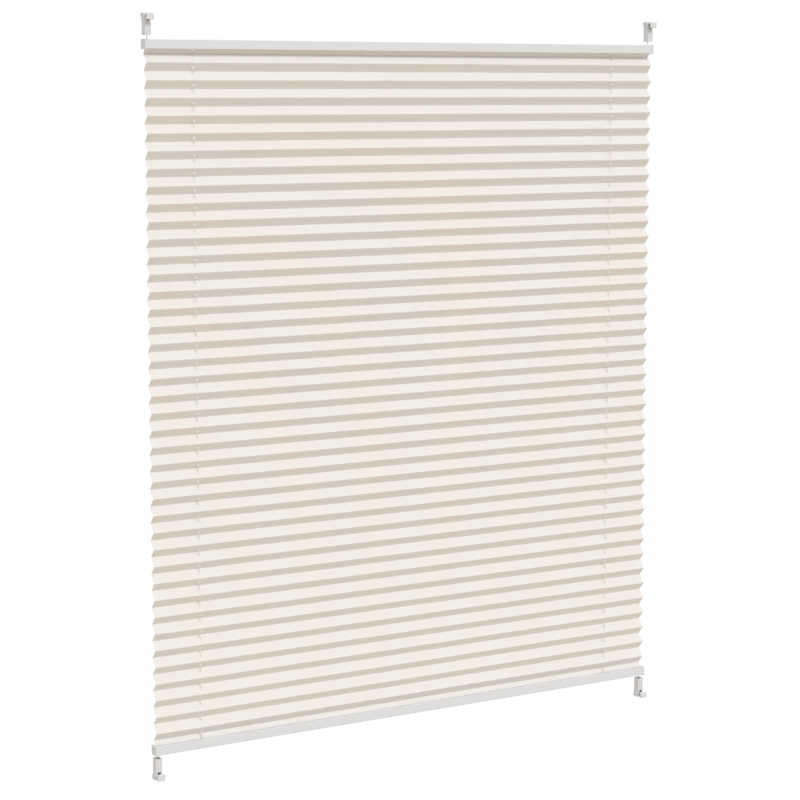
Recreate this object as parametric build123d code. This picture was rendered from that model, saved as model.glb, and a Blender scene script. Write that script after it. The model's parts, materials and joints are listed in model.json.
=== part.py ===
from build123d import *
from math import sqrt
import os

# Pleated blind on two tensioned cords, both rails free to slide. Millimetres, +Z up, +X along the
# rails. The hooks of the four tension shoes reach towards -Y, the window side. The origin lies midway
# between the screw slots of the two upper shoes.
os.makedirs("parts", exist_ok=True)

# Overall sizes of the blind
blind_width = 1050.0
blind_height = 1250.0

# Rails: a box extrusion, open in a slot on its fabric side
rail_height = 16.0
rail_depth = 18.0
rail_wall = 1.2
rail_slot = 6.0
rail_edge_radius = 0.8

# End caps: a plate over the rail's end and a plug inside it
cap_plate = 3.0
cap_proud = 0.5
cap_edge_radius = 0.8
cap_plug_length = 15.0
plug_clearance = 0.1

# Strip that holds the fabric's edge inside the rail
strip_width = 12.0
strip_thickness = 1.5

# Fabric, folded into a zigzag of equal faces
pleat_face = 20.0
pleat_spacing = 15.0
fabric_thickness = 0.35
fabric_clearance = 0.5
edge_clearance = 0.3
punched_hole = 3.5

# Cords, with the bores that they run in
cord_diameter = 1.2
cord_gap = 0.3
cord_bore = 2.0
turn_radius = 5.0
cord_end_inset = 7.0
cord_hole_inset = 92.0
bare_cord = 7.0
run_height = 8.2
knot_diameter = 2.6

# Cord guides, where a cord turns down through the fabric
guide_length = 14.0
guide_cover = 1.0

# Tension shoe housing
shoe_width = 12.0
shoe_depth = 14.5
shoe_height = 37.0
shoe_wall = 1.5
shoe_end_wall = 1.2
shoe_edge_radius = 1.2
flare_width = 16.0
flare_straight = 3.0
flare_height = 12.0
groove_width = 0.8
groove_depth = 0.4
groove_offset = 2.5
groove_end_gap = 3.0
recess_depth = 4.0
web_thickness = 1.5

# Screw slots through the housing, for a 4 mm screw
slot_width = 4.5
slot_length = 6.5
slot_from_end = 11.0

# Clamp hook and its screw
hook_clearance = 0.2
hook_reach = 8.5
arm_thickness = 2.0
pad_length = 6.0
pad_height = 0.5
lip_width = 14.0
lip_height = 11.0
lip_thickness = 2.5
lip_inset = 0.2
lip_edge_radius = 0.7
lug_thickness = 2.5
lug_height = 4.0
screw_diameter = 2.5
screw_thread_clearance = 0.05
screw_wall_clearance = 0.2
screw_tip_gap = 0.4
screw_head_diameter = 4.8
screw_head_height = 1.6
screw_slot_width = 0.8
screw_slot_depth = 0.8

# Spring and cord stop inside the housing
spring_length = 12.0
spring_wire = 0.8
spring_turns = 6
spring_wall_gap = 0.6
stop_thickness = 3.0
stop_wall_gap = 0.4
seat_gap = 0.02

# Places worked out from the sizes above
rail_top = slot_from_end - shoe_height - bare_cord
rail_bottom = rail_top - rail_height
mid_height = rail_top - blind_height / 2
fabric_height = blind_height - 2 * rail_height
extrusion_length = blind_width - 2 * cap_plate
fabric_width = extrusion_length - 2 * fabric_clearance
cavity_depth = rail_depth - 2 * rail_wall
cord_end_x = blind_width / 2 - cord_end_inset
cord_hole_x = blind_width / 2 - cord_hole_inset
cord_plane = (cord_diameter + cord_gap) / 2
strip_top = rail_bottom + rail_wall + strip_thickness
run_z = rail_bottom + run_height
shoe_end = slot_from_end
shoe_mouth = shoe_end - shoe_height
web_bottom = shoe_mouth + recess_depth
web_top = web_bottom + web_thickness
spring_top = web_top + spring_length
stop_top = spring_top + stop_thickness
knot_z = stop_top + knot_diameter / 2 + seat_gap
cavity_width = shoe_width - 2 * shoe_wall
shoe_cavity_depth = shoe_depth - 2 * shoe_wall
arm_top = shoe_end - shoe_end_wall - hook_clearance
arm_bottom = arm_top - arm_thickness
lug_bottom = arm_bottom - lug_height
screw_z = (arm_bottom + lug_bottom) / 2
mirror_plane = Plane.XY.offset(mid_height)


def block(x, y, z):
    """A box between two places on each axis."""
    size = (x[1] - x[0], y[1] - y[0], z[1] - z[0])
    centre = ((x[0] + x[1]) / 2, (y[0] + y[1]) / 2, (z[0] + z[1]) / 2)
    return Pos(*centre) * Box(*size)


def save(name, shape):
    shape.label = name
    export_step(shape, f"parts/{name}.step")


def save_above_and_below(name, shape):
    """The upper piece, and its mirror image at the lower end of the blind."""
    save("top_" + name, shape)
    save("bottom_" + name, mirror(shape, about=mirror_plane))


def cord_route(side):
    """From the upper shoe on one side, across to the other side's hole, down and back again."""
    y = side * cord_plane
    low_run = 2 * mid_height - run_z
    low_knot = 2 * mid_height - knot_z
    points = [
        (side * cord_end_x, y, knot_z),
        (side * cord_end_x, y, run_z),
        (-side * cord_hole_x, y, run_z),
        (-side * cord_hole_x, y, low_run),
        (side * cord_end_x, y, low_run),
        (side * cord_end_x, y, low_knot),
    ]
    return FilletPolyline(*points, radius=turn_radius)


def along_route(side, diameter):
    route = cord_route(side)
    start = Plane(origin=route @ 0, z_dir=route % 0)
    return sweep(start * Circle(diameter / 2), path=route)


def tension_cord(side):
    cord = along_route(side, cord_diameter)
    knot = Pos(side * cord_end_x, side * cord_plane, knot_z) * Sphere(knot_diameter / 2)
    return cord + knot + mirror(knot, about=mirror_plane)


def rail(bores):
    centre_z = rail_bottom + rail_height / 2
    section = RectangleRounded(rail_depth, rail_height, rail_edge_radius)
    section -= Rectangle(cavity_depth, rail_height - 2 * rail_wall)
    floor_y = -rail_height / 2 + rail_wall / 2
    section -= Pos(0, floor_y) * Rectangle(rail_slot, rail_wall)
    across = Plane(origin=(0, 0, centre_z), x_dir=(0, 1, 0), z_dir=(1, 0, 0))
    body = extrude(across * section, amount=extrusion_length / 2, both=True)
    return body - bores


def retaining_strip(bores):
    half = fabric_width / 2
    floor = rail_bottom + rail_wall
    strip = block((-half, half), (-strip_width / 2, strip_width / 2), (floor, strip_top))
    return strip - bores


def end_cap(side, bores):
    outer = blind_width / 2
    inner = outer - cap_plate
    half_plate = rail_depth / 2 + cap_proud
    low, high = rail_bottom - cap_proud, rail_top + cap_proud
    plate = block((inner, outer), (-half_plate, half_plate), (low, high))
    rim = plate.faces().sort_by(Axis.X)[-1].edges()
    plate = fillet(rim, cap_edge_radius)
    half_plug = cavity_depth / 2 - plug_clearance
    plug = block(
        (inner - cap_plug_length, inner),
        (-half_plug, half_plug),
        (strip_top + plug_clearance, rail_top - rail_wall - plug_clearance),
    )
    cap = plate + plug
    if side < 0:
        cap = Rot(0, 0, 180) * cap
    return cap - bores


def cord_guide(side, bores):
    half_width = cavity_depth / 2 - plug_clearance
    x = side * cord_hole_x
    guide = block(
        (x - guide_length / 2, x + guide_length / 2),
        (-half_width, half_width),
        (strip_top, run_z + cord_bore / 2 + guide_cover),
    )
    top_edges = guide.faces().sort_by(Axis.Z)[-1].edges()
    return chamfer(top_edges, guide_cover / 2) - bores


def pleated_fabric():
    """A thin sheet folded to and fro, with its two ends standing in the rails' slots."""
    fold_count = 2 * round((fabric_height / pleat_spacing - 1) / 2) + 1
    step = fabric_height / fold_count
    half_depth = sqrt(pleat_face**2 - step**2) / 2
    half_sheet = fabric_thickness * pleat_face / step / 2
    end = rail_wall - edge_clearance
    line = [(0, rail_bottom + end), (0, rail_bottom)]
    for n in range(fold_count):
        y = half_depth if n % 2 == 0 else -half_depth
        line.append((y, rail_bottom - (n + 0.5) * step))
    line += [(0, rail_bottom - fabric_height), (0, rail_bottom - fabric_height - end)]
    back = [(y + half_sheet, z) for y, z in line]
    front = [(y - half_sheet, z) for y, z in reversed(line)]
    across = Plane(origin=(0, 0, 0), x_dir=(0, 1, 0), z_dir=(1, 0, 0))
    outline = across * Polygon(*back, *front, align=None)
    sheet = extrude(outline, amount=fabric_width / 2, both=True)
    for side in (-1, 1):
        at = Pos(side * cord_hole_x, -side * cord_plane, mid_height)
        sheet -= at * Cylinder(punched_hole / 2, blind_height)
    return sheet


def shoe_housing(side, bores):
    """Hollow, open towards the rail, with a window behind the hook's lip for the hook's arm."""
    half, wide = shoe_width / 2, flare_width / 2
    right_edge = [
        (half, shoe_mouth),
        (half, shoe_end - flare_height),
        (wide, shoe_end - flare_straight),
        (wide, shoe_end),
    ]
    left_edge = [(-x, z) for x, z in reversed(right_edge)]
    outline = Plane.XZ * Polygon(*right_edge, *left_edge, align=None)
    shell = extrude(outline, amount=shoe_depth / 2, both=True)
    front, back = shell.faces().sort_by(Axis.Y)[0], shell.faces().sort_by(Axis.Y)[-1]
    uprights = [e for e in front.edges() + back.edges() if abs((e % 0.5).Z) > 0.5]
    shell = fillet(uprights, shoe_edge_radius)

    inside_x = (-cavity_width / 2, cavity_width / 2)
    inside_y = (-shoe_cavity_depth / 2, shoe_cavity_depth / 2)
    shell -= block(inside_x, inside_y, (web_top, shoe_end - shoe_end_wall))
    shell -= block(inside_x, inside_y, (shoe_mouth, web_bottom))
    window_z = (lug_bottom - hook_clearance, shoe_end - shoe_end_wall)
    shell -= block(inside_x, (-shoe_depth / 2, 0), window_z)

    through = Plane.XZ * SlotOverall(slot_length, slot_width)
    shell -= extrude(through, amount=shoe_depth, both=True)
    screw_hole = screw_diameter / 2 + screw_wall_clearance
    shell -= Pos(0, shoe_depth / 2, screw_z) * Rot(90, 0, 0) * Cylinder(screw_hole, shoe_depth)

    groove_z = (shoe_mouth + groove_end_gap, shoe_end - flare_height - groove_end_gap)
    groove_y = (-shoe_depth / 2, -shoe_depth / 2 + groove_depth)
    for offset in (-groove_offset, groove_offset):
        groove_x = (offset - groove_width / 2, offset + groove_width / 2)
        shell -= block(groove_x, groove_y, groove_z)
    return Pos(side * cord_end_x, 0, 0) * shell - bores


def clamp_hook(side):
    """An arm that slides in the housing, its lip in front and its threaded lug behind.
    The pad under the arm bears on the edge of the sash."""
    face = -shoe_depth / 2
    half_arm = cavity_width / 2 - hook_clearance
    half_lug = lug_thickness / 2
    lip_back = face - hook_reach
    arm = block((-half_arm, half_arm), (lip_back, half_lug), (arm_bottom, arm_top))
    pad = block(
        (-half_arm, half_arm),
        (lip_back, lip_back + pad_length),
        (arm_bottom - pad_height, arm_bottom),
    )
    lug = block((-half_arm, half_arm), (-half_lug, half_lug), (lug_bottom, arm_bottom))
    lip_top = shoe_end - lip_inset
    lip = block(
        (-lip_width / 2, lip_width / 2),
        (lip_back - lip_thickness, lip_back),
        (lip_top - lip_height, lip_top),
    )
    lip = fillet(lip.faces().sort_by(Axis.Y)[0].edges(), lip_edge_radius)
    thread = screw_diameter / 2 + screw_thread_clearance
    hook = arm + pad + lug + lip
    hook -= Pos(0, 0, screw_z) * Rot(90, 0, 0) * Cylinder(thread, 2 * lug_thickness)
    return Pos(side * cord_end_x, 0, 0) * hook


def clamp_screw(side):
    """Its head stands on the housing's room side."""
    tip_y = -shoe_cavity_depth / 2 + screw_tip_gap
    head_y = shoe_depth / 2
    length = head_y - tip_y
    lay = Rot(90, 0, 0)
    shank = Pos(0, (head_y + tip_y) / 2, screw_z) * lay * Cylinder(screw_diameter / 2, length)
    head_centre = head_y + screw_head_height / 2
    head = lay * Cylinder(screw_head_diameter / 2, screw_head_height)
    head = Pos(0, head_centre, screw_z) * head
    outside = head_y + screw_head_height
    for turn in (0, 90):
        slot = Box(screw_slot_width, 2 * screw_slot_depth, screw_head_diameter * 0.7)
        head -= Pos(0, outside, screw_z) * Rot(0, turn, 0) * slot
    return Pos(side * cord_end_x, 0, 0) * (shank + head)


def tension_spring(side):
    """A round-wire compression spring between the housing's web and the cord stop."""
    wire = spring_wire / 2
    radius = cavity_width / 2 - spring_wall_gap - wire
    height = spring_length - spring_wire - 2 * seat_gap
    helix = Helix(pitch=height / spring_turns, height=height, radius=radius)
    start = Plane(origin=helix @ 0, z_dir=helix % 0)
    coil = sweep(start * Circle(wire), path=helix, is_frenet=True)
    return Pos(side * cord_end_x, side * cord_plane, web_top + wire + seat_gap) * coil


def cord_stop(side, bores):
    radius = cavity_width / 2 - stop_wall_gap
    centre = (side * cord_end_x, side * cord_plane, spring_top + stop_thickness / 2)
    return Pos(*centre) * Cylinder(radius, stop_thickness) - bores


cord_bores = [along_route(-1, cord_bore), along_route(1, cord_bore)]

save("pleated_fabric", pleated_fabric())
save_above_and_below("rail", rail(cord_bores))
save_above_and_below("retaining_strip", retaining_strip(cord_bores))
for side, side_name in ((-1, "left"), (1, "right")):
    save(side_name + "_tension_cord", tension_cord(side))
    save_above_and_below(side_name + "_end_cap", end_cap(side, cord_bores))
    save_above_and_below(side_name + "_cord_guide", cord_guide(side, cord_bores))
    save_above_and_below(side_name + "_shoe_housing", shoe_housing(side, cord_bores))
    save_above_and_below(side_name + "_clamp_hook", clamp_hook(side))
    save_above_and_below(side_name + "_clamp_screw", clamp_screw(side))
    save_above_and_below(side_name + "_tension_spring", tension_spring(side))
    save_above_and_below(side_name + "_cord_stop", cord_stop(side, cord_bores))

for side, side_name in ((-1, "left"), (1, "right")):
    length = cord_route(side).length
    section = 3.14159 * cord_diameter**2 / 4
    volume = along_route(side, cord_diameter).volume
    print(side_name, "cord: length", round(length, 1), "turn radius", turn_radius)
    print("  volume over section times length", round(volume / (section * length), 4))
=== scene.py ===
# %% [markdown]
# # A pleated blind
#
# This is a pleated blind for a window that opens: a sheet of folded cloth between two slim
# aluminium rails. Two cords run through the cloth and hold both rails, and four small shoes
# hook over the edges of the sash and keep the cords tight. The measured parts come from the
# workshop's own model and stay as they are. This lesson lights them, paints them, and makes
# the two soft things again with the softness of the real ones: the cloth and the cords.
#
# Everything is in metres. X runs along the rails, the window lies towards -Y, and Z is up.

# %% Load the measured parts
import json
import math

import bmesh
import bpy
import mathutils
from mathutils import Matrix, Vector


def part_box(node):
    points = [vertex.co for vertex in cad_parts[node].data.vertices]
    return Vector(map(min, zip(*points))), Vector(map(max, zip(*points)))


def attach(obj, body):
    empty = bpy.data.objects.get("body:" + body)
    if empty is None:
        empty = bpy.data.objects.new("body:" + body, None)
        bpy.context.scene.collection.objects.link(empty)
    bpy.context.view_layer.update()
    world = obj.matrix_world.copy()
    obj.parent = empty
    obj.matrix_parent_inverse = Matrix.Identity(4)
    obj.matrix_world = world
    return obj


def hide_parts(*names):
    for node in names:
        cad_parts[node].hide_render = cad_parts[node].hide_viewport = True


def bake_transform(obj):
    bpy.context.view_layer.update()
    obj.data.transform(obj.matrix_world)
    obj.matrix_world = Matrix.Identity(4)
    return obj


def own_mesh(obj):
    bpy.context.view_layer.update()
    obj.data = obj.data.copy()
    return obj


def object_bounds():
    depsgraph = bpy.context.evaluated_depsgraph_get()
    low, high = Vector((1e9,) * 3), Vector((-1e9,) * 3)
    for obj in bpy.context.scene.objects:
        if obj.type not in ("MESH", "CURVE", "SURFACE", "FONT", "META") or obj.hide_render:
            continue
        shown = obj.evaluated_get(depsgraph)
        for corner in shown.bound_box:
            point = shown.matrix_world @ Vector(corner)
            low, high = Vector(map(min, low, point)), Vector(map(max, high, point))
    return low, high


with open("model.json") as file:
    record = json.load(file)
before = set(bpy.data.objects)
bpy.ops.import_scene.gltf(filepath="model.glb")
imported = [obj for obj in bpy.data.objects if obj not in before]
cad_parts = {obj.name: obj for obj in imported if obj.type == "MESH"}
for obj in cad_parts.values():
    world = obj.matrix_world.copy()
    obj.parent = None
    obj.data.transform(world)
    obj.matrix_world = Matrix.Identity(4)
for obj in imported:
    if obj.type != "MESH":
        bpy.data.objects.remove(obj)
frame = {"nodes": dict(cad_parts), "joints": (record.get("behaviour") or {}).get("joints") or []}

cad_low, cad_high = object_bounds()
print("measured box, mm:", [round(1000 * side) for side in cad_high - cad_low])

# %% [markdown]
# ## Places to work from
#
# New pieces take their places from the measured ones, so nothing has to be fitted by eye. The
# blind is the same above and below its middle height. Its cloth hangs from the underside of
# the top rail to the upper side of the bottom rail.

# %% Read the places of the rails and the cloth
MM = 0.001
top_rail_low, top_rail_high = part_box("top_rail")
bottom_rail_low, bottom_rail_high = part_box("bottom_rail")
cloth_low, cloth_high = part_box("pleated_fabric")
shoe_low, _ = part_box("top_left_shoe_housing")

cloth_top = top_rail_low.z
cloth_bottom = bottom_rail_high.z
middle_height = (cloth_top + cloth_bottom) / 2
cloth_width = cloth_high.x - cloth_low.x
print("cloth hangs over", round((cloth_top - cloth_bottom) / MM), "mm")

# %% [markdown]
# ## The viewpoint
#
# A long lens from the left, level with the upper part of the blind, shows the window side. It
# looks down only a little, and the lens is shifted downwards against the sensor for the rest,
# as on a camera for buildings. That keeps the blind's upright edges nearly parallel.

# %% Make the camera
STANDPOINT = (-1.8287, -3.2730, -0.1163)
TURN_TO_RIGHT = math.radians(28.806)
TILT_DOWN = math.radians(7.105)
LENS_LENGTH = 92.142
LENS_SHIFT = -0.07

camera_data = bpy.data.cameras.new("long_lens")
camera = bpy.data.objects.new("long_lens", camera_data)
bpy.context.scene.collection.objects.link(camera)
camera.location = STANDPOINT
camera.rotation_euler = (math.pi / 2 - TILT_DOWN, 0.0, -TURN_TO_RIGHT)
camera_data.lens = LENS_LENGTH
camera_data.shift_y = LENS_SHIFT
bpy.context.scene.camera = camera
print("camera stands", round(camera.location.length, 2), "m away")

# %% [markdown]
# ## Soft daylight and a pale floor
#
# A pale blind shows its folds by light alone, so most of the light has to come from above. A
# wide sky fills every side evenly. One large soft lamp, far up in front and a little to the
# right, brightens the faces that look up, and a weak one does the same behind. The floor is
# cream, and the light it sends back from below keeps the faces that look down warm. It lies as
# far down as a floor does under a window, which keeps shadows out of sight.
#
# A studio shows such a thing on paper white. So the lens sees sky and floor as plain white,
# while what they send to the blind stays softer than that.

# %% Make the sky and the lamps
PLAIN_WHITE = (1.0, 1.0, 1.0, 1.0)
SKY_STRENGTH = 0.70
LAMP_SOFTNESS = math.radians(18)
LAMPS = (
    ("high_soft_lamp", 1.56, (0.25, -0.72, 0.66)),
    ("weak_back_lamp", 0.60, (-0.35, 0.75, 0.56)),
)


def white_to_the_lens(tree, usual, white, end):
    """Lets the lens see one shader, and gives all other light the usual one."""
    light_path = tree.nodes.new("ShaderNodeLightPath")
    either = tree.nodes.new("ShaderNodeMixShader")
    tree.links.new(light_path.outputs["Is Camera Ray"], either.inputs[0])
    tree.links.new(usual.outputs[0], either.inputs[1])
    tree.links.new(white.outputs[0], either.inputs[2])
    tree.links.new(either.outputs[0], end.inputs["Surface"])


sky = bpy.data.worlds.new("studio_sky")
sky.use_nodes = True
bpy.context.scene.world = sky
sky_nodes = sky.node_tree.nodes
fill_light = sky_nodes["Background"]
fill_light.inputs["Color"].default_value = PLAIN_WHITE
fill_light.inputs["Strength"].default_value = SKY_STRENGTH
paper_white = sky_nodes.new("ShaderNodeBackground")
paper_white.inputs["Color"].default_value = PLAIN_WHITE
white_to_the_lens(sky.node_tree, fill_light, paper_white, sky_nodes["World Output"])

for name, energy, towards in LAMPS:
    lamp_data = bpy.data.lights.new(name, "SUN")
    lamp_data.energy = energy
    lamp_data.angle = LAMP_SOFTNESS
    lamp = bpy.data.objects.new(name, lamp_data)
    bpy.context.scene.collection.objects.link(lamp)
    lamp.rotation_euler = mathutils.Vector(towards).to_track_quat("Z", "Y").to_euler()
print("lit by a sky and", len(LAMPS), "lamps")

# %% Lay the floor
FLOOR_DROP = 1.0
FLOOR_REACH = 60.0
FLOOR_CREAM = (0.68, 0.60, 0.49, 1.0)


def start_clean():
    """Leaves edit mode and puts everything down, so that the next operator acts on one thing."""
    if bpy.context.object and bpy.context.object.mode != "OBJECT":
        bpy.ops.object.mode_set(mode="OBJECT")
    bpy.ops.object.select_all(action="DESELECT")


start_clean()
bpy.ops.mesh.primitive_plane_add(size=FLOOR_REACH, location=(0.0, 0.0, cad_low.z - FLOOR_DROP))
floor = bpy.context.object
floor.name = "pale_floor"
bpy.ops.object.transform_apply(location=True, rotation=True, scale=True)
floor_paint = bpy.data.materials.new("pale_floor_paint")
floor_paint.use_nodes = True
floor_nodes = floor_paint.node_tree.nodes
floor_shader = floor_nodes["Principled BSDF"]
floor_shader.inputs["Base Color"].default_value = FLOOR_CREAM
floor_shader.inputs["Roughness"].default_value = 1.0
floor_shader.inputs["Specular IOR Level"].default_value = 0.0
floor_white = floor_nodes.new("ShaderNodeEmission")
floor_end = floor_nodes["Material Output"]
white_to_the_lens(floor_paint.node_tree, floor_shader, floor_white, floor_end)
floor.data.materials.append(floor_paint)
bpy.context.scene.view_settings.view_transform = "Standard"
print("floor lies", FLOOR_DROP, "m below the blind")

# %% [markdown]
# ## A short way to write finishes
#
# A finish is a small network of nodes. Drawing one by hand takes many lines, so a class wraps a
# socket: sums written on it add the Math nodes that they need, and one method adds any other
# node with its settings and inputs.


# %% Make the class that writes finishes
class Flow:
    """A value inside a finish. Sums written on it become Math nodes."""

    def __init__(self, tree, socket=None):
        self.tree = tree
        self.socket = socket

    def node(self, kind, settings=None, inputs=None, output=0):
        """Adds a node: its settings first, then the values or links of its sockets."""
        made = self.tree.nodes.new(kind)
        for name, value in (settings or {}).items():
            setattr(made, name, value)
        for name, value in (inputs or {}).items():
            if isinstance(value, Flow):
                self.tree.links.new(value.socket, made.inputs[name])
            else:
                made.inputs[name].default_value = value
        return Flow(self.tree, made.outputs[output])

    def maths(self, operation, first, second=0.0):
        return self.node("ShaderNodeMath", {"operation": operation}, {0: first, 1: second})

    def __add__(self, other):
        return self.maths("ADD", self, other)

    def __sub__(self, other):
        return self.maths("SUBTRACT", self, other)

    def __rsub__(self, other):
        return self.maths("SUBTRACT", other, self)

    def __mul__(self, other):
        return self.maths("MULTIPLY", self, other)

    __radd__ = __add__
    __rmul__ = __mul__


def tint(level, deep, light):
    """A colour between two, by a level from 0 to 1."""
    settings = {"data_type": "RGBA"}
    return level.node("ShaderNodeMix", settings, {0: level, 6: deep, 7: light}, output=2)


def noise(place, scale, detail):
    """Soft random patches, scale of them to a metre."""
    settings = {"noise_dimensions": "3D"}
    inputs = {"Vector": place, "Scale": scale, "Detail": detail}
    return place.node("ShaderNodeTexNoise", settings, inputs)


def stretched(place, scale):
    """The same place, with each of its axes counted at its own rate."""
    return place.node("ShaderNodeMapping", None, {"Vector": place, "Scale": scale})


def raised(height, deepest, strength):
    """The surface direction for a relief whose height runs from 0 to 1."""
    inputs = {"Height": height, "Distance": deepest, "Strength": strength}
    return height.node("ShaderNodeBump", None, inputs)


def new_finish(name):
    """A fresh material: itself, its main shader's sockets, and a Flow to start from."""
    finish = bpy.data.materials.new(name)
    finish.use_nodes = True
    shader = finish.node_tree.nodes["Principled BSDF"].inputs
    return finish, shader, Flow(finish.node_tree)


def feed(shader, name, flow):
    """Links a flow to one of the main shader's sockets."""
    flow.tree.links.new(flow.socket, shader[name])


def object_place(flow):
    return flow.node("ShaderNodeTexCoord", output=3)


print("ready to write finishes")

# %% [markdown]
# ## White powder coat on the rails
#
# The rails are extruded aluminium, coated with white powder that melts in an oven. The coat
# pulls itself into soft dimples about a millimetre across, like orange peel, and lies a touch
# thicker in places. A bump from fine noise gives the dimples, and broad noise lets the gloss
# wander a little. Noise stays crisp however close the rail comes. The white of the coat and of
# the plastic below leans a little to blue, to balance the warm light off this floor. Under
# plain white light both look slightly cool.

# %% Paint the rails
powder_coat, shader, start = new_finish("white_powder_coat")
place = object_place(start)
dimples = noise(place, scale=900.0, detail=3.0)
along_rail = noise(stretched(place, (1.5, 60.0, 60.0)), scale=6.0, detail=2.0)
feed(shader, "Base Color", tint(along_rail, (0.66, 0.679, 0.715, 1.0), (0.70, 0.717, 0.750, 1.0)))
feed(shader, "Roughness", along_rail * 0.10 + 0.34)
feed(shader, "Normal", raised(dimples, deepest=0.03 * MM, strength=0.35))
shader["IOR"].default_value = 1.5
print("made", powder_coat.name)

# %% [markdown]
# ## Moulded plastic on the caps, guides, shoes and hooks
#
# Moulded parts take the grain of their mould. A mould that is spark-eroded leaves a fine,
# even, matt grain, with a few tenths of a millimetre from grain to grain. The white plastic is
# a shade darker and less glossy than the coat on the rails. One fine noise makes the grain, and
# a broad one makes the slight patches that plastic shows where it cooled unevenly.

# %% Paint the moulded parts
moulded_white, shader, start = new_finish("white_moulded_plastic")
place = object_place(start)
grain = noise(place, scale=2600.0, detail=4.0)
patches = noise(place, scale=90.0, detail=2.0)
feed(shader, "Base Color", tint(patches, (0.645, 0.663, 0.698, 1.0), (0.69, 0.708, 0.743, 1.0)))
feed(shader, "Roughness", grain * 0.16 + 0.40)
feed(shader, "Normal", raised(grain, deepest=0.02 * MM, strength=0.45))
print("made", moulded_white.name)

# %% [markdown]
# ## Strip, stop and steel
#
# The strip that holds the cloth inside a rail is plain extruded plastic, with faint lines
# along its length, made by noise that is stretched along it. The cord stops are grey and matt.
# The screws and springs are steel with a thin bright coat of zinc, and a mottled noise gives
# them the cloudy bloom that zinc gets.

# %% Paint the strips, stops, screws and springs
strip_white, shader, start = new_finish("white_strip_plastic")
place = object_place(start)
drawn_lines = noise(stretched(place, (8.0, 2200.0, 2200.0)), scale=1.0, detail=3.0)
feed(shader, "Base Color", tint(drawn_lines, (0.70, 0.70, 0.69, 1.0), (0.75, 0.75, 0.74, 1.0)))
feed(shader, "Roughness", drawn_lines * 0.15 + 0.45)
feed(shader, "Normal", raised(drawn_lines, deepest=0.02 * MM, strength=0.4))

stop_grey, shader, start = new_finish("grey_stop_plastic")
place = object_place(start)
grain = noise(place, scale=2400.0, detail=4.0)
feed(shader, "Base Color", tint(grain, (0.27, 0.275, 0.285, 1.0), (0.33, 0.335, 0.34, 1.0)))
feed(shader, "Roughness", grain * 0.2 + 0.5)
feed(shader, "Normal", raised(grain, deepest=0.02 * MM, strength=0.5))

zinc_steel, shader, start = new_finish("bright_zinc_steel")
place = object_place(start)
bloom = noise(place, scale=700.0, detail=5.0)
scratches = noise(place, scale=3500.0, detail=2.0)
feed(shader, "Base Color", tint(bloom, (0.50, 0.51, 0.54, 1.0), (0.70, 0.71, 0.72, 1.0)))
feed(shader, "Roughness", bloom * 0.22 + 0.22)
feed(shader, "Normal", raised(scratches, deepest=0.006 * MM, strength=0.4))
shader["Metallic"].default_value = 1.0
print("made", strip_white.name, stop_grey.name, zinc_steel.name)

# %% [markdown]
# ## Each measured part gets its finish
#
# The parts' own names say what they are, so one list of endings is enough.

# %% Give the finishes to the measured parts
finish_by_ending = {
    "rail": powder_coat,
    "end_cap": moulded_white,
    "cord_guide": moulded_white,
    "shoe_housing": moulded_white,
    "clamp_hook": moulded_white,
    "retaining_strip": strip_white,
    "cord_stop": stop_grey,
    "clamp_screw": zinc_steel,
    "tension_spring": zinc_steel,
}
painted = 0
for name, part in frame["nodes"].items():
    for ending, finish in finish_by_ending.items():
        if name.endswith(ending):
            for place_on_part in part.material_slots:
                place_on_part.material = finish
            painted += 1
print("painted", painted, "measured parts")

# %% [markdown]
# ## The folded cloth
#
# The real cloth is one stiffened polyester weave, pressed into 81 sharp folds. It could be
# simulated, but pressed folds don't drape: they keep their shape, and only their spacing
# wanders. So it is made as a folder in a workshop makes it. A narrow strip of cloth starts
# in the top rail, and each pleat is pulled out of the last by extruding its lower edge. Then
# the folds are rounded, because real cloth doesn't fold to nothing.

# %% Set the folds' sizes
FOLD_COUNT = 81
PLEAT_FACE = 20 * MM
CLOTH_THICKNESS = 0.35 * MM
TAB = 0.9 * MM
FOLD_ROUNDING = 0.5 * MM
FOLD_ROUNDING_STEPS = 3
CLOTH_COLUMNS = 40
CLOTH_SMOOTH_BELOW = math.radians(30)

pleat_step = (cloth_top - cloth_bottom) / FOLD_COUNT
fold_reach = math.sqrt(PLEAT_FACE**2 - pleat_step**2) / 2
print("a pleat every", round(pleat_step / MM, 2), "mm, reaching", round(fold_reach / MM, 2), "mm")


# %% Helpers that pick out parts of a mesh by their place
def choose(kind, test):
    """Selects, in edit mode, the corners, edges or faces whose middle passes a test."""
    bpy.ops.mesh.select_mode(type=kind)
    bpy.ops.mesh.select_all(action="DESELECT")
    shape = bmesh.from_edit_mesh(bpy.context.object.data)
    found = 0
    for element in {"VERT": shape.verts, "EDGE": shape.edges, "FACE": shape.faces}[kind]:
        corners = [element] if kind == "VERT" else element.verts
        middle = sum((corner.co for corner in corners), mathutils.Vector()) / len(corners)
        if test(middle):
            element.select_set(True)
            found += 1
    shape.select_flush_mode()
    bmesh.update_edit_mesh(bpy.context.object.data)
    return found


def apply_modifiers(piece):
    for modifier in list(piece.modifiers):
        bpy.ops.object.modifier_apply(modifier=modifier.name)


def settle(piece):
    """Puts the piece's place into its mesh, so that its object sits at the origin, unturned."""
    bpy.ops.object.transform_apply(location=True, rotation=True, scale=True)
    print(piece.name, "has", len(piece.data.polygons), "faces")


print("ready to pick parts of a mesh")


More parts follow.
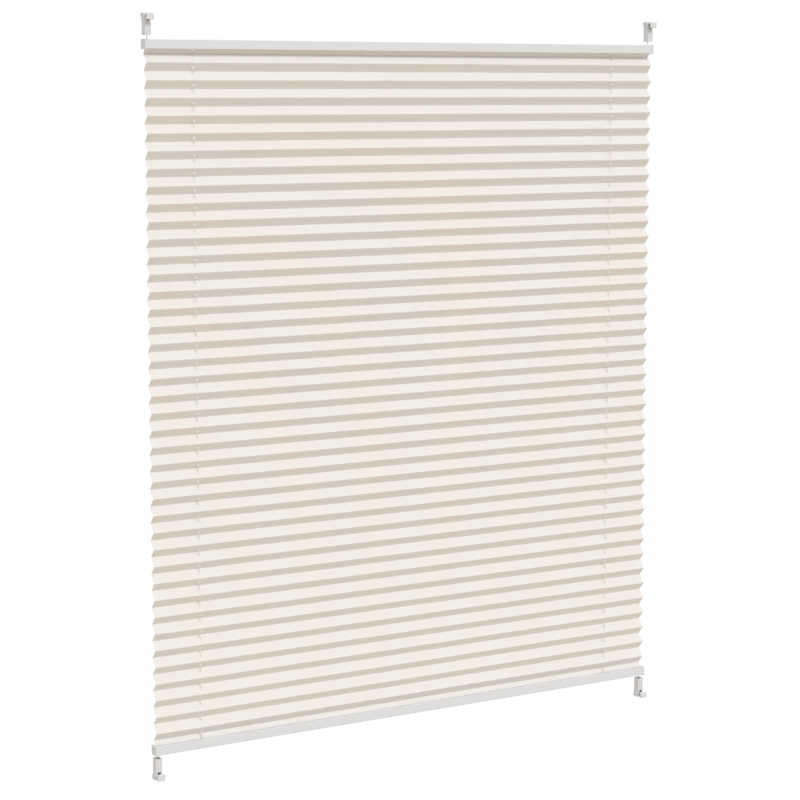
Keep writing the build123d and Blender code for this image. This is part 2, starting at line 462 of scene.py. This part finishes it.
# %% Pull the pleats out of a narrow strip
start_clean()
bpy.ops.mesh.primitive_grid_add(
    x_subdivisions=CLOTH_COLUMNS,
    y_subdivisions=1,
    size=1.0,
    location=(0.0, 0.0, cloth_top + TAB / 2),
    rotation=(math.pi / 2, 0.0, 0.0),
)
cloth = bpy.context.object
cloth.name = "whole_cloth"
cloth.scale = (cloth_width, TAB, 1.0)
bpy.ops.object.transform_apply(location=True, rotation=True, scale=True)

fold_line = [(0.0, cloth_top)]
for n in range(FOLD_COUNT):
    reach = fold_reach if n % 2 == 0 else -fold_reach
    fold_line.append((reach, cloth_top - (n + 0.5) * pleat_step))
fold_line.append((0.0, cloth_bottom))
fold_line.append((0.0, cloth_bottom - TAB))

bpy.ops.object.mode_set(mode="EDIT")
choose("EDGE", lambda middle: abs(middle.z - cloth_top) < 0.1 * TAB)
for (y, z), (next_y, next_z) in zip(fold_line, fold_line[1:]):
    pull = {"value": (0.0, next_y - y, next_z - z)}
    bpy.ops.mesh.extrude_region_move(TRANSFORM_OT_translate=pull)
print("folded into", len(fold_line) - 2, "pleat faces")

# %% Round the folds
NEARLY = 0.02 * MM
folds = choose("EDGE", lambda middle: abs(middle.y) > fold_reach - NEARLY)
bpy.ops.mesh.bevel(offset=FOLD_ROUNDING, segments=FOLD_ROUNDING_STEPS, affect="EDGES")
print("rounded", folds, "edges")

# %% [markdown]
# ## Holes for the cords
#
# On the real blind a drill goes straight through the pressed stack, so the holes line up as
# one upright bore. Here the bore is cut with flat blades. First each pleat gets a small
# four-sided field where a cord comes through. Then twelve upright blades, all touching one
# circle, cut that field, and what lies inside the circle is taken out.

# %% Cut the holes
CORD_HOLE_X = 433 * MM
CORD_PLANE = 0.75 * MM
PUNCHED_RADIUS = 1.75 * MM
FIELD_HALF_WIDTH = 3.5 * MM
FIELD_HALF_DEPTH = 2.6 * MM
BLADES = 12
FINEST_CUT = 0.001 * MM


def blade(point, facing):
    bpy.ops.mesh.bisect(plane_co=point, plane_no=facing, threshold=FINEST_CUT)


for side in (-1, 1):
    centre_x = side * CORD_HOLE_X
    centre_y = -side * CORD_PLANE
    for edge in (-1, 1):
        choose("FACE", lambda middle: middle.x * side > 0)
        blade((0.0, centre_y + edge * FIELD_HALF_DEPTH, 0.0), (0.0, 1.0, 0.0))
        bpy.ops.mesh.select_all(action="SELECT")
        blade((centre_x + edge * FIELD_HALF_WIDTH, 0.0, 0.0), (1.0, 0.0, 0.0))

for side in (-1, 1):
    centre_x = side * CORD_HOLE_X
    centre_y = -side * CORD_PLANE

    def in_field(middle):
        beside = abs(middle.x - centre_x) < FIELD_HALF_WIDTH
        return beside and abs(middle.y - centre_y) < FIELD_HALF_DEPTH and middle.z < cloth_top

    def in_bore(middle):
        distance = math.hypot(middle.x - centre_x, middle.y - centre_y)
        return distance < PUNCHED_RADIUS and cloth_bottom < middle.z < cloth_top

    for n in range(BLADES):
        angle = 2 * math.pi * n / BLADES
        facing = (math.cos(angle), math.sin(angle), 0.0)
        choose("FACE", in_field)
        touch_x = centre_x + PUNCHED_RADIUS * facing[0]
        touch_y = centre_y + PUNCHED_RADIUS * facing[1]
        blade((touch_x, touch_y, 0.0), facing)
    removed = choose("FACE", in_bore)
    bpy.ops.mesh.delete(type="FACE")
    print("holes on side", side, "cut,", removed, "faces taken out")
start_clean()

# %% [markdown]
# ## Slack, thickness and two halves
#
# Heat and damp leave pressed cloth a little uneven, so three soft noises move the folds by a
# few tenths of a millimetre: two of them up and down, in long and in short waves, and one in
# depth. Only then does the sheet get its thickness, so both of its faces stay parallel. Both
# rails can slide, so the cloth is parted at the fold at its middle height, and the parting line
# hides in the back of a fold.

# %% Make the cloth uneven and thick
start_clean()
cloth.select_set(True)
bpy.context.view_layer.objects.active = cloth
SLACK = (
    ("slow_slack", 140 * MM, 0.9 * MM, "Z"),
    ("small_slack", 35 * MM, 0.35 * MM, "Z"),
    ("depth_slack", 90 * MM, 0.5 * MM, "Y"),
)
for name, wave_size, height, direction in SLACK:
    waves = bpy.data.textures.new(name, "CLOUDS")
    waves.noise_scale = wave_size
    shift = cloth.modifiers.new(name, "DISPLACE")
    shift.texture = waves
    shift.texture_coords = "LOCAL"
    shift.direction = direction
    shift.strength = height
    shift.mid_level = 0.5
thickness = cloth.modifiers.new("thickness", "SOLIDIFY")
thickness.thickness = CLOTH_THICKNESS
thickness.offset = 0.0
thickness.use_even_offset = True
apply_modifiers(cloth)
bpy.ops.object.shade_smooth_by_angle(angle=CLOTH_SMOOTH_BELOW)
print("the cloth has", len(cloth.data.polygons), "faces")


# %% Part the cloth at its middle height
def half_of_cloth(name, keep_above):
    """A copy of the cloth, cut at the middle height and closed there."""
    start_clean()
    cloth.select_set(True)
    bpy.context.view_layer.objects.active = cloth
    bpy.ops.object.duplicate()
    half = bpy.context.object
    half.name = name
    bpy.ops.object.mode_set(mode="EDIT")
    bpy.ops.mesh.select_all(action="SELECT")
    bpy.ops.mesh.bisect(
        plane_co=(0.0, 0.0, middle_height),
        plane_no=(0.0, 0.0, 1.0),
        threshold=FINEST_CUT,
        use_fill=True,
        clear_inner=keep_above,
        clear_outer=not keep_above,
    )
    bpy.ops.mesh.select_all(action="SELECT")
    bpy.ops.mesh.remove_doubles(threshold=2 * FINEST_CUT)
    start_clean()
    half.select_set(True)
    settle(half)
    return half


upper_pleats = half_of_cloth("upper_pleats", True)
lower_pleats = half_of_cloth("lower_pleats", False)
bpy.data.objects.remove(cloth)

# %% [markdown]
# ## The weave
#
# The cloth is a plain weave of thin cream yarns, 22 to the centimetre, stiffened with a soft
# resin. From a step away it looks smooth and slightly chalky, with faint slubs, the thicker
# stretches of weft that run along the folds. The weave must follow the cloth and not the
# room, so each corner of the mesh remembers its place on the flat cloth, and the finish reads
# that. Crossing waves make the yarns, and they only raise the surface. A little sheen stands
# for the fine hairs.


# %% Write each corner's place on the flat cloth
def remember_flat_place(half):
    """Stores where each corner lay before the cloth was folded: across, along and through it."""
    flat_place = half.data.attributes.new("flat_place", "FLOAT_VECTOR", "POINT")
    for corner, stored in zip(half.data.vertices, flat_place.data):
        along = (cloth_top - corner.co.z) * PLEAT_FACE / pleat_step
        stored.vector = (corner.co.x, along, corner.co.y)


for half in (upper_pleats, lower_pleats):
    remember_flat_place(half)
print("the whole cloth is", round((cloth_top - cloth_bottom) * PLEAT_FACE / pleat_step, 2), "m")

# %% Paint the cloth
cream_weave, shader, start = new_finish("cream_pleated_weave")
flat_place = start.node("ShaderNodeAttribute", {"attribute_name": "flat_place"}, output=1)
split = start.node("ShaderNodeSeparateXYZ", None, {0: flat_place})
across = split
along = Flow(split.tree, split.socket.node.outputs[1])
YARN_SPACING = 0.45 * MM
waves_per_metre = 2 * math.pi / YARN_SPACING
warp = across.maths("SINE", across * waves_per_metre)
weft = along.maths("SINE", along * waves_per_metre)
weave = warp * weft * 0.5 + 0.5
slubs = noise(stretched(flat_place, (14.0, 900.0, 1.0)), scale=1.0, detail=2.0)
cloudy = noise(stretched(flat_place, (5.0, 9.0, 1.0)), scale=1.0, detail=3.0)
shade = slubs * 0.55 + cloudy * 0.45
cloth_colour = tint(shade, (0.735, 0.714, 0.684, 1.0), (0.770, 0.756, 0.740, 1.0))
feed(shader, "Base Color", cloth_colour)
feed(shader, "Roughness", slubs * 0.12 + 0.80)
feed(shader, "Normal", raised(weave * 0.6 + slubs * 0.4, deepest=0.03 * MM, strength=0.5))
shader["Specular IOR Level"].default_value = 0.25
shader["Sheen Weight"].default_value = 0.15
shader["Sheen Roughness"].default_value = 0.5
for half in (upper_pleats, lower_pleats):
    half.data.materials.clear()
    half.data.materials.append(cream_weave)
print("made", cream_weave.name)

# %% [markdown]
# ## The cloth's halves and the rails
#
# On the real blind, when a rail slides, its half of the cloth folds flatter, all pleats alike,
# and its middle stays where it is. Here each half only hangs from the shoes with its own mesh,
# and the share of its height that a folded half would keep is worked out from how far the top
# rail slides.

# %% Work out the folded share and attach both halves to the shoes
rail_travel = {}
for joint in frame["joints"]:
    if joint["name"] in ("top_rail_slide", "bottom_rail_slide"):
        rail_travel[joint["name"]] = max(abs(limit) for limit in joint["range_m"])
half_height = cloth_top - middle_height
folded_share = 1 - rail_travel["top_rail_slide"] / half_height


def fold_with(piece, joint):
    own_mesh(piece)


for half, joint, rail_end in (
    (upper_pleats, "top_rail_slide", "top"),
    (lower_pleats, "bottom_rail_slide", "bottom"),
):
    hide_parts("pleated_fabric")
    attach(half, "shoes")
    fold_with(half, joint)
    "hung" if rail_end == "top" else "folded"
    rail_end + "_retaining_strip"
print("a folded half keeps", round(100 * folded_share, 1), "% of its height")

# %% [markdown]
# ## The cords
#
# Each cord is a hard round braid, 1.2 mm thick. It starts with a knot on the cord stop in an
# upper shoe, drops into the rail, turns along it to the far side, and goes down through the
# cloth, and below it all happens again, upside down. A cord under tension is dead straight
# between its turns, so a round profile is pulled along by extruding, and spun where it turns.
#
# The rails slide on the cords, so each cord is made in the lengths that move alike: a tail
# from the shoe to the rail that grows longer, a run that travels inside the rail, and a drop
# through the pleats that grows shorter.

# %% Set the cords' sizes
CORD_RADIUS = 0.6 * MM
CORD_SIDES = 16
CORD_SMOOTH_BELOW = math.radians(50)
CORD_END_X = 518 * MM
TURN_RADIUS = 5 * MM
TURN_STEPS = 8
RUN_ABOVE_RAIL_BOTTOM = 8.2 * MM
KNOT_ABOVE_STOP = 1.32 * MM
_, stop_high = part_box("top_left_cord_stop")
knot_height = stop_high.z + KNOT_ABOVE_STOP
run_height = top_rail_low.z + RUN_ABOVE_RAIL_BOTTOM
turn_top = run_height + TURN_RADIUS
print("cords run", round(RUN_ABOVE_RAIL_BOTTOM / MM, 1), "mm above the rail's underside")


# %% Helpers that pull a cord along
def new_profile(name, x, y, z):
    """A round flat end of cord, facing down, in edit mode with its rim selected."""
    start_clean()
    bpy.ops.mesh.primitive_circle_add(
        vertices=CORD_SIDES, radius=CORD_RADIUS, fill_type="NGON", location=(x, y, z)
    )
    piece = bpy.context.object
    piece.name = name
    bpy.ops.object.transform_apply(location=True, rotation=True, scale=True)
    bpy.ops.object.mode_set(mode="EDIT")
    bpy.ops.mesh.select_mode(type="FACE")
    bpy.ops.mesh.select_all(action="SELECT")
    return piece


def pull(x, y, z):
    move = {"value": (x, y, z)}
    bpy.ops.mesh.extrude_region_move(TRANSFORM_OT_translate=move)


def end_piece(piece):
    """Closes a piece: doubles merged, faces turned outwards, and rounded in its shading."""
    bpy.ops.mesh.select_all(action="SELECT")
    bpy.ops.mesh.remove_doubles(threshold=FINEST_CUT)
    bpy.ops.mesh.normals_make_consistent(inside=False)
    start_clean()
    piece.select_set(True)
    bpy.context.view_layer.objects.active = piece
    bpy.ops.object.shade_smooth_by_angle(angle=CORD_SMOOTH_BELOW)
    settle(piece)


def mirrored_below(piece, name):
    """A copy with its own mesh, turned over about the middle height."""
    start_clean()
    piece.select_set(True)
    bpy.context.view_layer.objects.active = piece
    bpy.ops.object.duplicate()
    copy = bpy.context.object
    copy.name = name
    copy.scale.z = -1.0
    copy.location.z = 2 * middle_height
    bpy.ops.object.transform_apply(location=True, rotation=True, scale=True)
    bpy.ops.object.mode_set(mode="EDIT")
    end_piece(copy)
    return copy


print("ready to pull cords")


# %% Make one cord's tail, run and drop
def make_tail(name, side):
    """Straight from the knot to the turn in the rail's end cap."""
    piece = new_profile(name, side * CORD_END_X, side * CORD_PLANE, knot_height)
    pull(0.0, 0.0, shoe_low.z - knot_height)
    pull(0.0, 0.0, turn_top - shoe_low.z)
    end_piece(piece)
    return piece


def turn_corner(side, direction, x, z):
    """Spins the rim a quarter turn about an axis along Y."""
    bpy.ops.mesh.spin(
        steps=TURN_STEPS,
        angle=math.pi / 2,
        center=(x, side * CORD_PLANE, z),
        axis=(0.0, direction, 0.0),
    )


def make_run(name, side):
    """Down into the cap, along the rail to the far side, and down to the cloth."""
    piece = new_profile(name, side * CORD_END_X, side * CORD_PLANE, turn_top)
    turn_corner(side, -side, side * (CORD_END_X - TURN_RADIUS), turn_top)
    far_turn = CORD_HOLE_X - TURN_RADIUS
    pull(-side * (CORD_END_X - TURN_RADIUS + far_turn), 0.0, 0.0)
    turn_corner(side, side, -side * far_turn, run_height - TURN_RADIUS)
    pull(0.0, 0.0, cloth_top - (run_height - TURN_RADIUS))
    end_piece(piece)
    return piece


def make_drop(name, side):
    """Straight down through the pleats, from the rail to the middle height."""
    piece = new_profile(name, -side * CORD_HOLE_X, side * CORD_PLANE, cloth_top)
    pull(0.0, 0.0, middle_height - cloth_top)
    end_piece(piece)
    return piece


cords = {}
for side, hand in ((-1, "left"), (1, "right")):
    for part, make in (("tail", make_tail), ("run", make_run), ("drop", make_drop)):
        upper = make("top_" + hand + "_cord_" + part, side)
        cords["top", hand, part] = upper
        cords["bottom", hand, part] = mirrored_below(upper, "bottom_" + hand + "_cord_" + part)
for key in (("top", "left", "run"), ("bottom", "right", "run")):
    corners = cords[key].bound_box
    low, high = [[round(c / MM, 1) for c in corners[k]] for k in (0, 6)]
    print(cords[key].name, "reaches from", low, "to", high, "mm")

# %% [markdown]
# ## The knots
#
# A simple overhand knot holds each end of a cord on its stop. Pulled tight, it shows two loops
# that cross over each other and a short end, sealed with a flame so that it doesn't fray. Two
# rings tilted against each other make the loops, and a short pulled profile that narrows at
# its tip makes the end.

# %% Tie the knots
LOOP_RADIUS = 0.70 * MM
LOOP_CORD_RADIUS = 0.57 * MM
LOOP_TILT = math.radians(38)
END_LENGTH = 2.2 * MM
SEALED_TIP = 0.5


def make_knot(name, side):
    """Two crossed loops and a sealed end."""
    x, y = side * CORD_END_X, side * CORD_PLANE
    made = []
    start_clean()
    for tilt, turn in ((LOOP_TILT, 0.0), (-LOOP_TILT, math.pi / 2)):
        bpy.ops.mesh.primitive_torus_add(
            major_segments=28,
            minor_segments=14,
            major_radius=LOOP_RADIUS,
            minor_radius=LOOP_CORD_RADIUS,
            location=(x, y, knot_height),
            rotation=(tilt, 0.0, turn),
        )
        made.append(bpy.context.object)
    tail_end = new_profile(name, x, y, knot_height)
    pull(0.2 * END_LENGTH, 0.0, 0.5 * END_LENGTH)
    pull(0.1 * END_LENGTH, 0.0, 0.5 * END_LENGTH)
    bpy.ops.transform.resize(value=(SEALED_TIP, SEALED_TIP, SEALED_TIP))
    start_clean()
    for piece in made:
        piece.select_set(True)
    tail_end.select_set(True)
    bpy.context.view_layer.objects.active = tail_end
    bpy.ops.object.join()
    bpy.ops.object.mode_set(mode="EDIT")
    end_piece(tail_end)
    return tail_end


for side, hand in ((-1, "left"), (1, "right")):
    knot = make_knot("top_" + hand + "_cord_knot", side)
    cords["top", hand, "knot"] = knot
    cords["bottom", hand, "knot"] = mirrored_below(knot, "bottom_" + hand + "_cord_knot")
print("tied", sum(key[2] == "knot" for key in cords), "knots")

# %% [markdown]
# ## The braid
#
# Four thin strands run round the cord one way and four the other way, over and under. Where
# they cross they stand up as small lozenges. Two waves, wound left and right, make the same
# pattern when they are multiplied. They need to know the direction round the cord at each
# point, so each corner stores that direction and its distance along the cord.


# %% Write each corner's place on the braid
def remember_braid(piece, centre, runs_along):
    """Stores the direction round a straight cord, as two parts, and the distance along it."""
    braid_place = piece.data.attributes.new("braid_place", "FLOAT_VECTOR", "POINT")
    around = [axis for axis in range(3) if axis != runs_along]
    for corner, stored in zip(piece.data.vertices, braid_place.data):
        offset = (corner.co - centre) / CORD_RADIUS
        stored.vector = (offset[around[0]], offset[around[1]], corner.co[runs_along])


for (rail_end, hand, part), piece in cords.items():
    side = -1 if hand == "left" else 1
    x = -side * CORD_HOLE_X if part == "drop" else side * CORD_END_X
    z = run_height if rail_end == "top" else 2 * middle_height - run_height
    centre = mathutils.Vector((x, side * CORD_PLANE, z))
    remember_braid(piece, centre, 0 if part == "run" else 2)
print("braided", len(cords), "lengths of cord")

# %% Paint the cords
white_braid, shader, start = new_finish("white_cord_braid")
braid_place = start.node("ShaderNodeAttribute", {"attribute_name": "braid_place"}, output=1)
split = start.node("ShaderNodeSeparateXYZ", None, {0: braid_place})
first, second, along = [Flow(split.tree, out) for out in split.socket.node.outputs]
direction = first.maths("ARCTAN2", second, first)
STRANDS_EACH_WAY = 4
LOZENGE = 1.3 * MM
winding = direction * float(STRANDS_EACH_WAY)
advance = along * (2 * math.pi / LOZENGE)
left_wound = direction.maths("SINE", winding + advance)
right_wound = direction.maths("SINE", winding - advance)
lozenges = left_wound * right_wound * 0.5 + 0.5
fibres = noise(object_place(start), scale=5000.0, detail=3.0)
# Painted shade: the colour is darker between the raised lozenges, in the braid's grooves, and the
# fibre noise varies it at random.
shade = lozenges * 0.7 + fibres * 0.3
feed(shader, "Base Color", tint(shade, (0.62, 0.60, 0.56, 1.0), (0.80, 0.78, 0.73, 1.0)))
feed(shader, "Roughness", fibres * 0.2 + 0.65)
feed(shader, "Normal", raised(lozenges * 0.8 + fibres * 0.2, deepest=0.08 * MM, strength=0.7))
shader["Sheen Weight"].default_value = 0.2
for piece in cords.values():
    piece.data.materials.clear()
    piece.data.materials.append(white_braid)
print("made", white_braid.name)

# %% [markdown]
# ## What carries the cords
#
# A knot stays in its shoe, and a run travels with its rail. A drop hangs from the shoes with its
# own mesh. A tail runs from the shoe to the rail with no corners in between, and stays where it
# is made.

# %% Attach the knots, runs and drops to the parts that carry them
for (rail_end, hand, part), piece in cords.items():
    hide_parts(hand + "_tension_cord")
    if part == "tail":
        mouth = shoe_low.z if rail_end == "top" else 2 * middle_height - shoe_low.z
        inside = turn_top if rail_end == "top" else 2 * middle_height - turn_top
        side = -1 if hand == "left" else 1
        x, y = side * CORD_END_X, side * CORD_PLANE
        rail_end + "_rail"
        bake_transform(piece)
    elif part == "run":
        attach(piece, rail_end + "_rail")
    else:
        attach(piece, "shoes")
        if part == "drop":
            fold_with(piece, rail_end + "_rail_slide")
print("tied", len(cords), "lengths of cord")
